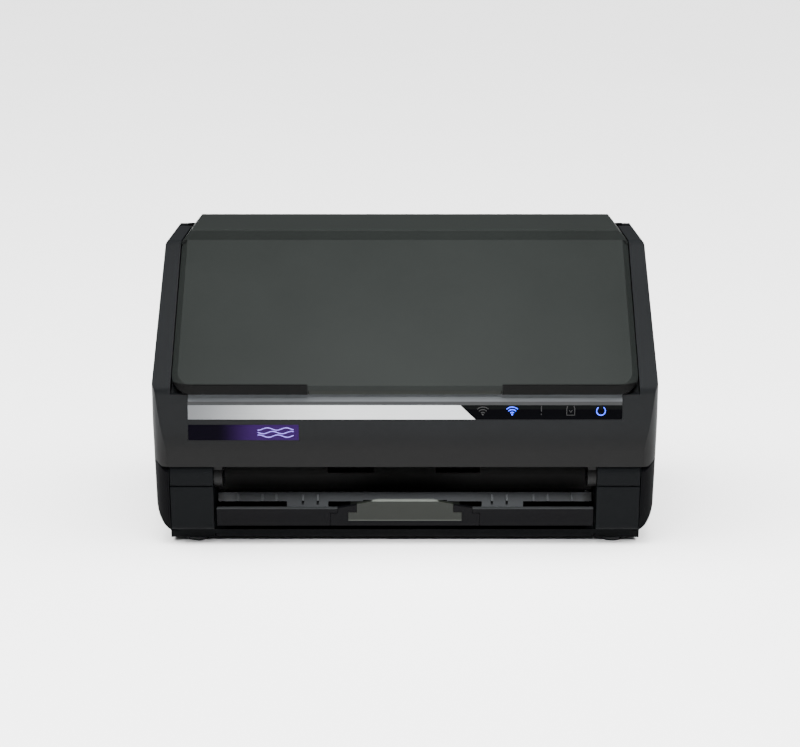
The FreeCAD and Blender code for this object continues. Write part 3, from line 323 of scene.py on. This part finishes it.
@dataclass(frozen=True)
class Lit:
    """A symbol of diffusing plastic lit from behind by a lamp on the board, or unlit where its glow is nought."""

    name: str
    colour: str
    glow: float
    patch_mm: float = 3.0
    patch_light: float = 1.25
    roughness: float = 0.4

    def make(self) -> bpy.types.Material:
        """Build the material: a satin face, a little lighter in patches, that also gives light.

        Returns:
            The material.
        """
        material, tree, shader, where = fresh_material(self.name)
        core = add_node(tree, "ShaderNodeTexNoise", {"Scale": METRE_MM / self.patch_mm, "Detail": 1.0},
                        {"Vector": where})
        shade = add_node(tree, "ShaderNodeMix", {"data_type": "RGBA", 6: linear(self.colour),
                                                 7: linear(self.colour, self.patch_light)},
                         {0: core.outputs["Fac"]})
        tree.links.new(shade.outputs[2], shader.inputs["Base Color"])
        tree.links.new(shade.outputs[2], shader.inputs["Emission Color"])
        shader.inputs["Emission Strength"].default_value = self.glow
        shader.inputs["Roughness"].default_value = self.roughness
        return material


@dataclass(frozen=True)
class FloatGlass:
    """Thin clear float glass over the sensors, faintly green, with slight smears in its roughness."""

    name: str
    colour: str
    smear_mm: float = 25.0
    clean: float = 0.02
    smeared: float = 0.09
    clear: float = 0.85
    ior: float = 1.52

    def make(self) -> bpy.types.Material:
        """Build the material: smooth and transmitting, with slow noise in its roughness.

        Returns:
            The material.
        """
        material, tree, shader, where = fresh_material(self.name)
        smears = add_node(tree, "ShaderNodeTexNoise", {"Scale": METRE_MM / self.smear_mm, "Detail": 3.0},
                          {"Vector": where})
        rough = add_node(tree, "ShaderNodeMapRange", {"To Min": self.clean, "To Max": self.smeared},
                         {"Value": smears.outputs["Fac"]})
        tree.links.new(rough.outputs[0], shader.inputs["Roughness"])
        shader.inputs["Base Color"].default_value = linear(self.colour)
        shader.inputs["Transmission Weight"].default_value = self.clear
        shader.inputs["IOR"].default_value = self.ior
        return material


@dataclass(frozen=True)
class PaintedBoard:
    """Board painted a satin off-white, barely clouded, for the floor and the wall behind."""

    name: str
    dark: str
    pale: str
    cloud_mm: float = 500.0
    roughness: float = 0.22

    def make(self) -> bpy.types.Material:
        """Build the material: slow noise between two near whites.

        Returns:
            The material.
        """
        material, tree, shader, where = fresh_material(self.name)
        soft = add_node(tree, "ShaderNodeTexNoise", {"Scale": METRE_MM / self.cloud_mm}, {"Vector": where})
        shade = add_node(tree, "ShaderNodeMix", {"data_type": "RGBA", 6: linear(self.dark), 7: linear(self.pale)},
                         {0: soft.outputs["Fac"]})
        tree.links.new(shade.outputs[2], shader.inputs["Base Color"])
        shader.inputs["Roughness"].default_value = self.roughness
        return material


class Slot(Enum):
    """The record's material slots, each with the finish its nodes take."""

    # Fine mould grain: an even soft black, with painted shade that darkens it towards its foot.
    shell_dark = Moulded("moulded_abs_charcoal", "#0c0d0e", 0.48, 0.8, 0.10, level=0.1,
                         fades=(Fade("#080808", DOWN, -76.0, -56.0),))
    # The same grain a little smoother: a broad dull sheen.
    shell_grey = Moulded("moulded_abs_warm_grey", "#0c0e0d", 0.42, 0.8, 0.10, level=0.1)
    # Black and hardly reflecting, so that the openings stay dark.
    inner_black = Moulded("moulded_abs_black", "#050506", 0.5, 0.7, 0.08, level=0.04)
    # The shells' grain on a lighter, faintly greenish grey.
    tray_grey = Moulded("moulded_abs_pale_grey", "#141613", 0.4, 0.8, 0.08, level=0.12)
    # Brushed and anodised: bright and silky, with a painted reflection that makes it duller towards its left end.
    silver_band = BrushedMetal("brushed_anodised_aluminium", "#e8eaeb", 0.36,
                               fades=(Fade("#6e7072", LEFT, 30.0, 132.0),))
    # Polished and smoked: nearly black, with a painted reflection that makes it a little paler above a sharp line.
    gloss_window = Moulded("smoked_acrylic_polished", "#010102", 0.09, 6.0, 0.01, 30.0, 0.03, 1.49, 0.02,
                           (Fade("#060707", UP, 83.2, 83.7),))
    # Printed film: a bluish black that turns to violet towards the right.
    label_violet = Moulded("printed_vinyl_label", "#010004", 0.4, 2.0, 0.02, level=0.03,
                           fades=(Fade("#1e0d33", RIGHT, -110.0, -84.0),))
    # Clear, with a faint green: what lies under it shows through.
    scan_glass = FloatGlass("float_glass", "#dcebe6")
    # Ground after moulding: matt, with a tooth that grips paper.
    soft_rubber = Moulded("nitrile_rubber_ground", "#121315", 0.75, 0.5, 0.25)
    # Ground: bright, with short streaks that break up its highlight.
    shaft_steel = BrushedMetal("ground_steel", "#b9babc", 0.3, 0.5, 8.0)
    # A waxy off-white with a soft sheen.
    white_acetal = Moulded("moulded_acetal_white", "#d9d6cc", 0.4, 1.2, 0.04)
    # Solder mask over woven glass: a slightly uneven green sheen.
    board_green = Moulded("epoxy_circuit_board", "#15552f", 0.35, 1.5, 0.12)
    # A satin mid grey, far lighter than the shells.
    button_grey = Moulded("moulded_abs_mid_grey", "#8a8d90", 0.38, 0.7, 0.06)
    # Tinted through: a satin blue.
    button_blue = Moulded("tinted_abs_blue", "#2f62b8", 0.32, 0.7, 0.05)


class Own(Enum):
    """Finishes of single nodes that differ from their slot's."""

    # The lid's low bevel is painted darker than its grained face, a painted shade where it faces down, but not across
    # its middle.
    lid = Moulded("moulded_abs_warm_grey_lid", "#121413", 0.42, 0.8, 0.10, level=0.07,
                  fades=(Fade("#010101", DOWN, -99.2, -98.4, 56.5),))
    # Painted highlights: the trays' top edges are painted paler than their faces, and the third stage is also painted
    # paler along its lower edge.
    lip = Moulded("moulded_abs_black_painted_edge_highlight", "#050506", 0.5, 0.7, 0.08, level=0.04,
                  fades=(Fade("#1f2021", UP, 22.7, 23.0),))
    stage = Moulded("moulded_abs_pale_grey_painted_edge_highlights", "#111310", 0.4, 0.8, 0.08, level=0.12,
                    fades=(Fade("#4a4d49", UP, 27.5, 27.8), Fade("#2c2e2b", DOWN, -16.4, -16.1)))
    # Painted light: a satin grey, paler than what is around it, so that the fins show in the shade under the cover.
    comb = Moulded("moulded_pom_satin_painted_light", "#4a4c4e", 0.4, 0.7, 0.06, level=0.3)
    # Blackened, so that the pins don't shine in their gaps.
    pins = BrushedMetal("blackened_steel", "#0c0c0d", 0.5, 0.5, 8.0)
    # Deeply etched: a dull black, with painted shade that makes it darker still low on its outer sides.
    etched = Moulded("moulded_abs_etched_black", "#08090a", 0.55, 0.8, 0.10, level=0.03,
                     fades=(Fade("#020203", DOWN, -90.0, -60.0, 139.0),))


OWN_FINISH = {"lid_shell": Own.lid, "output_tray": Own.lip, "output_stage_three": Own.stage, "exit_comb": Own.comb,
              **dict.fromkeys(("cover_hinge_pins", "lid_hinge_pins"), Own.pins),
              **dict.fromkeys(("base_shell", "pillar_left", "pillar_right", "hinge_cap_left", "hinge_cap_right",
                               "bottom_pan", "foot_block_left", "foot_block_right"), Own.etched)}


def dress_nodes() -> None:
    """Give every CAD node its own finish where it has one, and otherwise that of its slot in the record."""
    made = {slot.name: slot.value.make() for slot in Slot}
    shared = {own: own.value.make() for own in Own}
    for part in frame["record"]["subparts"]:
        item = frame["nodes"][part["node"]]
        item.data.materials.clear()
        own = OWN_FINISH.get(part["node"])
        item.data.materials.append(shared[own] if own else made[part["material_slot"]])
        log.info("dressed %s in %s", part["node"], item.data.materials[0].name)


# Scene around the object


@dataclass(frozen=True)
class Panel:
    """A rectangular soft lamp: where it hangs, the point it faces, its width and height, and its watts."""

    name: str
    place: Place
    target: Place
    size: tuple[float, float]
    watts: float

    def hang(self) -> None:
        """Hang the lamp: it leans by the angle from straight down and turns towards its target."""
        light = bpy.data.lights.new(self.name, "AREA")
        light.shape = "RECTANGLE"
        light.size, light.size_y = self.size
        light.energy = self.watts
        item = bpy.data.objects.new(self.name, light)
        bpy.context.scene.collection.objects.link(item)
        item.location = self.place
        way = np.array(self.target) - np.array(self.place)
        item.rotation_euler = (math.atan2(math.hypot(way[0], way[1]), -way[2]), 0,
                               math.atan2(way[1], way[0]) - math.pi / 2)


@dataclass(frozen=True)
class Sky:
    """An even light on the whole floor from far off to one side, whose strength is its power per area.

    The height is its angle above the horizon, the bearing where it stands, from the rear towards the left, and the
    spread its width, which softens the shadow, all in degrees.
    """

    name: str
    height: float
    bearing: float
    spread: float
    strength: float

    def hang(self) -> None:
        """Turn the light to its side: only its direction counts, so it stands at the origin."""
        light = bpy.data.lights.new(self.name, "SUN")
        light.energy, light.angle = self.strength, math.radians(self.spread)
        item = bpy.data.objects.new(self.name, light)
        bpy.context.scene.collection.objects.link(item)
        item.rotation_euler = (math.radians(self.height - 90), 0, math.radians(self.bearing))
        item.visible_glossy = False


@dataclass(frozen=True)
class Beam:
    """A soft spotlight, brightest in the middle of its cone, whose whole opening is in degrees."""

    name: str
    place: Place
    target: Place
    cone: float
    watts: float
    bulb: float = 0.1

    def hang(self) -> None:
        """Hang the spotlight and turn it towards its target."""
        light = bpy.data.lights.new(self.name, "SPOT")
        light.energy, light.spot_size = self.watts, np.radians(self.cone)
        light.spot_blend, light.shadow_soft_size = 1.0, self.bulb
        item = bpy.data.objects.new(self.name, light)
        bpy.context.scene.collection.objects.link(item)
        item.location = self.place
        item.rotation_euler = (Vector(self.target) - Vector(self.place)).to_track_quat("-Z", "Y").to_euler()
        item.visible_glossy = False


@dataclass
class Studio:
    """A pale floor and wall, soft lamps, and the camera at the photograph's angle."""

    tilt: float = 16.3
    reach: float = 1.0
    aim: Place = (0.0, -0.0845, 0.075)
    image: tuple[int, int] = (800, 747)
    focal_px: float = 1718.0
    aim_px: tuple[float, float] = (405.0, 424.4)
    sensor_mm: float = 36.0
    sight: float = 50.0
    floor_half: float = 16.0
    wall_edge: float = 9.0
    wall_rise: float = 6.0
    wall_grid: tuple[int, int] = (13, 48)
    board: PaintedBoard = PaintedBoard("painted_board_pale", "#f4f4f4", "#f8f8f8")
    lamps: tuple[Panel | Sky | Beam, ...] = (
        Panel("overhead", (0.0, -0.46, 0.9), (0.0, -0.07, 0.12), (0.4, 0.2), 5.0),
        Panel("left_soft", (-1.4, -0.6, 0.7), (0.0, 0.0, 0.1), (0.7, 0.9), 3.0),
        Panel("right_soft", (1.4, -0.6, 0.7), (0.0, 0.0, 0.1), (0.7, 0.9), 2.0),
        Sky("left_sky", 66.0, 90.0, 60.0, 11.0),
        Sky("right_sky", 66.0, -90.0, 60.0, 8.6),
        Beam("front_beam", (0.05, -0.9, 0.9), (0.02, -0.08, 0.1), 18.0, 110.0))
    air_colour: str = "#f2f3f5"
    air_strength: float = 0.14

    def camera(self) -> None:
        """Place the camera on the view line, and shift its frame to put the aim point where the photograph has it."""
        lens = bpy.data.cameras.new("camera")
        lens.sensor_width = self.sensor_mm
        lens.lens = self.focal_px / self.image[0] * lens.sensor_width
        lens.shift_x = -(self.aim_px[0] - self.image[0] / 2) / self.image[0]
        lens.shift_y = (self.aim_px[1] - self.image[1] / 2) / self.image[0]
        lens.clip_end = self.sight
        item = bpy.data.objects.new("camera", lens)
        bpy.context.scene.collection.objects.link(item)
        lean = math.radians(self.tilt)
        item.location = (self.aim[0], self.aim[1] - self.reach * math.cos(lean),
                         self.aim[2] + self.reach * math.sin(lean))
        item.rotation_euler = (math.pi / 2 - lean, 0, 0)
        bpy.context.scene.camera = item

    def floor(self) -> None:
        """A flat pale floor and, for the camera alone, a wall of the same board that rises from it all round.

        The wall's radius = edge + rise * sin(share) and its height = rise * (1 - cos(share)), up to a quarter turn.
        """
        side = np.array([-self.floor_half, self.floor_half])
        x, y = np.meshgrid(side, side, indexing="ij")
        floor = mesh_object("floor", np.stack([x, y, 0 * x], -1), grid_faces(2, 2))
        rows, columns = self.wall_grid
        share, turn = np.meshgrid(np.linspace(0, math.pi / 2, rows),
                                  np.linspace(0, 2 * math.pi, columns, endpoint=False), indexing="ij")
        radius = self.wall_edge + self.wall_rise * np.sin(share)
        points = np.stack([radius * np.cos(turn), radius * np.sin(turn), self.wall_rise * (1 - np.cos(share))], -1)
        wall = mesh_object("backdrop", points, grid_faces(rows, columns, False, True))
        wall.visible_glossy = wall.visible_diffuse = wall.visible_shadow = False
        material = self.board.make()
        for item in (floor, wall):
            item.data.materials.append(material)
            log.info("staged %s", item.name)

    def build(self) -> None:
        """Set the camera, the floor, the lamps and the even surrounding light."""
        self.camera()
        self.floor()
        for lamp in self.lamps:
            lamp.hang()
            log.info("hung %s", lamp.name)
        world = bpy.data.worlds.new("studio_air")
        bpy.context.scene.world = world
        world.use_nodes = True
        air = world.node_tree.nodes["Background"].inputs
        air["Color"].default_value = linear(self.air_colour)
        air["Strength"].default_value = self.air_strength


# Front trim


class FrontFinish(Enum):
    """Finishes of what is printed, lit and fitted on the cover."""

    # Lit from behind: a deep blue that glows.
    lit = Lit("lit_symbol_blue", "#1c3ce8", 1.7)
    # The same plastic with its lamp off: a grey that hardly shows.
    dim = Lit("unlit_symbol_grey", "#070708", 0.0)
    # Pad-printed: thin, dark and dull on the keys' satin.
    key_ink = Moulded("pad_printed_ink_dark", "#1c1e20", 0.5, 1.0, 0.02, level=0.2)
    # Screen-printed: an even pale lilac with a slight satin.
    ink = Moulded("screen_printed_ink_lilac", "#6c5cb0", 0.4, 1.0, 0.02, level=0.2)
    # A painted highlight: a satin grey on the bevel, with painted shade on a darker lower edge.
    trim = Moulded("satin_trim_painted_highlight", "#424446", 0.35, 0.7, 0.03, level=0.3,
                   fades=(Fade("#1a1b1c", DOWN, -88.2, -87.9),))


@dataclass
class Front:
    """What is printed, lit and fitted on the cover: the symbols, the keys' signs, the label's waves and the trim."""

    proud: float = 0.05
    symbol_places: tuple[float, ...] = (45.3, 62.4, 79.4, 96.5, 114.1)
    symbol_half: float = 3.1
    key_sign_half: float = 2.8
    key_line: float = 0.9
    deck_lean: float = 46.03
    face_band: float = 0.1
    key_band: float = 0.05
    wave_ends: tuple[float, float] = (-86.0, -65.0)
    wave_points: int = 60
    wave_rows: int = 3
    wave_step: float = 2.1
    wave_swing: float = 0.7
    wave_long: float = 11.0
    wave_shift: float = 3.0
    trim_half: float = 126.4
    trim_points: int = 24
    trim_line: tuple[tuple[float, float], ...] = ((-81.84, 85.9), (-81.66, 88.0), (-79.62, 92.0))
    trim_outward: tuple[tuple[float, float], ...] = ((-1.0, 0.09), (-0.96, 0.29), (-0.89, 0.46))
    trim_thick: float = 0.25
    finishes: dict[FrontFinish, bpy.types.Material] = field(default_factory=dict)

    def face(self, node: str) -> Face:
        """A node's leaning front face.

        Args:
            node: The node.

        Returns:
            A point on its middle line, the direction up it and its outward direction.
        """
        points = np.array([v.co for v in frame["nodes"][node].data.vertices])
        low, high = points[:, 2].min(), points[:, 2].max()
        near_low = points[points[:, 2] < low + self.face_band * MM][:, 1].min()
        near_high = points[points[:, 2] > high - self.face_band * MM][:, 1].min()
        middle = np.array([0.0, (near_low + near_high) / 2, (low + high) / 2])
        up = np.array([0.0, near_high - near_low, high - low])
        up /= np.linalg.norm(up)
        return middle, up, np.array([0.0, -up[2], up[1]])

    def key_top(self, node: str) -> Face:
        """A key's round top, which leans as the deck does.

        Args:
            node: The key's node.

        Returns:
            Its centre, the direction up it and its outward direction.
        """
        lean = math.radians(self.deck_lean)
        out = np.array([0.0, -math.cos(lean), math.sin(lean)])
        up = np.array([0.0, math.sin(lean), math.cos(lean)])
        points = np.array([v.co for v in frame["nodes"][node].data.vertices])
        reach = points @ out
        return points[reach > reach.max() - self.key_band * MM].mean(0), up, out

    def stroke(self, name: str, flat: np.ndarray, finish: FrontFinish, face: Face,
               body: str = "cover", closed: bool = False, line: float = 0.5) -> None:
        """Lay one line on a face as a flat raised ribbon: place = middle + x * right + y * up, raised along out.

        Args:
            name: The piece's name.
            flat: The line in the face's plane, along X and up from the middle.
            finish: Which finish it takes.
            face: The face's middle, the direction up it and its outward direction.
            body: The body that it rides on.
            closed: Whether the line is a ring.
            line: Its width.
        """
        middle, up, out = face
        path = middle + (flat[:, :1] * (1.0, 0.0, 0.0) + flat[:, 1:] * up + out * self.proud / 2) * MM
        half = line / 2
        outline = np.array([[-half, -self.proud], [half, -self.proud], [half, self.proud], [-half, self.proud]]) * MM
        self.fit(carried_profile(name, path, outline, out, closed), finish, body)

    def fit(self, item: bpy.types.Object, finish: FrontFinish, body: str = "cover") -> None:
        """Give a piece its finish and let it ride on its body.

        Args:
            item: The piece.
            finish: Which finish it takes.
            body: The body that it rides on.
        """
        item.data.materials.append(self.finishes[finish])
        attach(item, body)
        log.info("fitted %s on %s", item.name, body)

    def sign(self, name: str, shape: list | np.ndarray, across: float, finish: FrontFinish,
             closed: bool = False) -> None:
        """Draw a line of a window symbol: place = across + shape * the symbol's half size.

        Args:
            name: The piece's name.
            shape: The line, in half sizes from the symbol's middle.
            across: The symbol's place along X.
            finish: Which finish it takes.
            closed: Whether the line is a ring.
        """
        flat = np.array(shape) * self.symbol_half + (across, 0.0)
        self.stroke(name, flat, finish, self.face("indicator_window"), closed=closed)

    def keys(self) -> None:
        """Print a plain sign on each of the four keys: a broken ring, a pointer, a square and an arc."""
        ring = self.arc((0, 0), 0.8, 125, 415)
        signs = {"power": (ring, False), "start": (np.array([[-0.5, -0.75], [0.8, 0.0], [-0.5, 0.75]]), True),
                 "stop": (np.array([[-0.6, -0.6], [0.6, -0.6], [0.6, 0.6], [-0.6, 0.6]]), True),
                 "wireless": (self.arc((0, -0.7), 1.3, 135, 45, 12), False)}
        for key, (shape, closed) in signs.items():
            self.stroke(key + "_print", shape * self.key_sign_half, FrontFinish.key_ink,
                        self.key_top(key + "_button"), key + "_key", closed, self.key_line)

    def arc(self, centre: tuple[float, float], size: float, start: float, stop: float, count: int = 24) -> np.ndarray:
        """Points of a circle's arc: centre + size * (cos, sin) of evenly spaced angles in degrees."""
        turn = np.radians(np.linspace(start, stop, count))
        return np.stack([centre[0] + size * np.cos(turn), centre[1] + size * np.sin(turn)], -1)

    def radio(self, name: str, across: float, finish: FrontFinish) -> None:
        """Three arcs above a dot, the plain sign of a radio link.

        Args:
            name: The symbol's name, which its lines' names start with.
            across: The symbol's place along X.
            finish: Which finish it takes.
        """
        for number, size in enumerate((0.5, 1.0, 1.5)):
            self.sign("%s_wave_%d" % (name, number), self.arc((0, -0.8), size, 135, 45, 12), across, finish)
        self.sign(name + "_dot", self.arc((0, -0.72), 0.09, 0, 330, 12), across, finish, True)

    def symbols(self) -> None:
        """Draw the window's five symbols from left to right."""
        link, radio, alert, sheet, power = self.symbol_places
        lit, dim = FrontFinish.lit, FrontFinish.dim
        self.radio("link", link, dim)
        self.radio("radio", radio, lit)
        self.sign("alert_bar", [[0, 0.9], [0, -0.15]], alert, dim)
        self.sign("alert_dot", [[0, -0.55], [0, -0.8]], alert, dim)
        edge = [[-0.6, 0.9], [-0.75, 0.3], [-0.75, -0.85], [0.75, -0.85], [0.75, 0.3], [0.6, 0.9]]
        self.sign("sheet_edge", edge, sheet, dim)
        self.sign("sheet_feed", [[-0.3, 0.1], [0.0, -0.3], [0.3, 0.1]], sheet, dim)
        self.sign("power_ring", self.arc((0, -0.05), 0.82, 125, 415, 32), power, lit)

    def waves(self) -> None:
        """Print waves on the label's right end: height = row + swing * sine of the shifted x over a wave's length."""
        across = np.linspace(*self.wave_ends, self.wave_points)
        for number in range(self.wave_rows):
            swing = self.wave_swing * np.sin((across + self.wave_shift * number) * 2 * np.pi / self.wave_long)
            height = (number - (self.wave_rows - 1) / 2) * self.wave_step + swing
            self.stroke("label_wave_%d" % number, np.stack([across, height], -1), FrontFinish.ink,
                        self.face("label_plate"))

    def trim(self) -> None:
        """Fit the bevelled trim above strip and window, a thin sheet whose grey is a painted highlight over a painted
        shade along its lower edge: a bent line of Y and Z with one thickness, carried along X.

        The outline's first axis runs towards -Y, so Y changes its sign.
        """
        line = np.array(self.trim_line)
        outward = np.array(self.trim_outward) * self.trim_thick
        outline = np.concatenate([line + outward, line[::-1]]) * (-1, 1)
        x = np.linspace(-self.trim_half, self.trim_half, self.trim_points)
        path = np.stack([x, np.zeros_like(x), np.zeros_like(x)], -1)
        item = carried_profile("trim_bevel", path * MM, outline * MM, np.array([0.0, 0.0, 1.0]), False)
        self.fit(item, FrontFinish.trim)

    def build(self) -> None:
        """Make the finishes, then the window's symbols, the keys' signs, the label's waves and the trim."""
        self.finishes = {finish: finish.value.make() for finish in FrontFinish}
        self.symbols()
        self.keys()
        self.waves()
        self.trim()


def main() -> None:
    """Build the scene piece by piece around the frame."""
    logging.basicConfig(level=logging.INFO, format="%(name)s: %(message)s")
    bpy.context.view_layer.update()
    Studio().build()
    dress_nodes()
    Front().build()


if __name__ == "__main__":
    main()
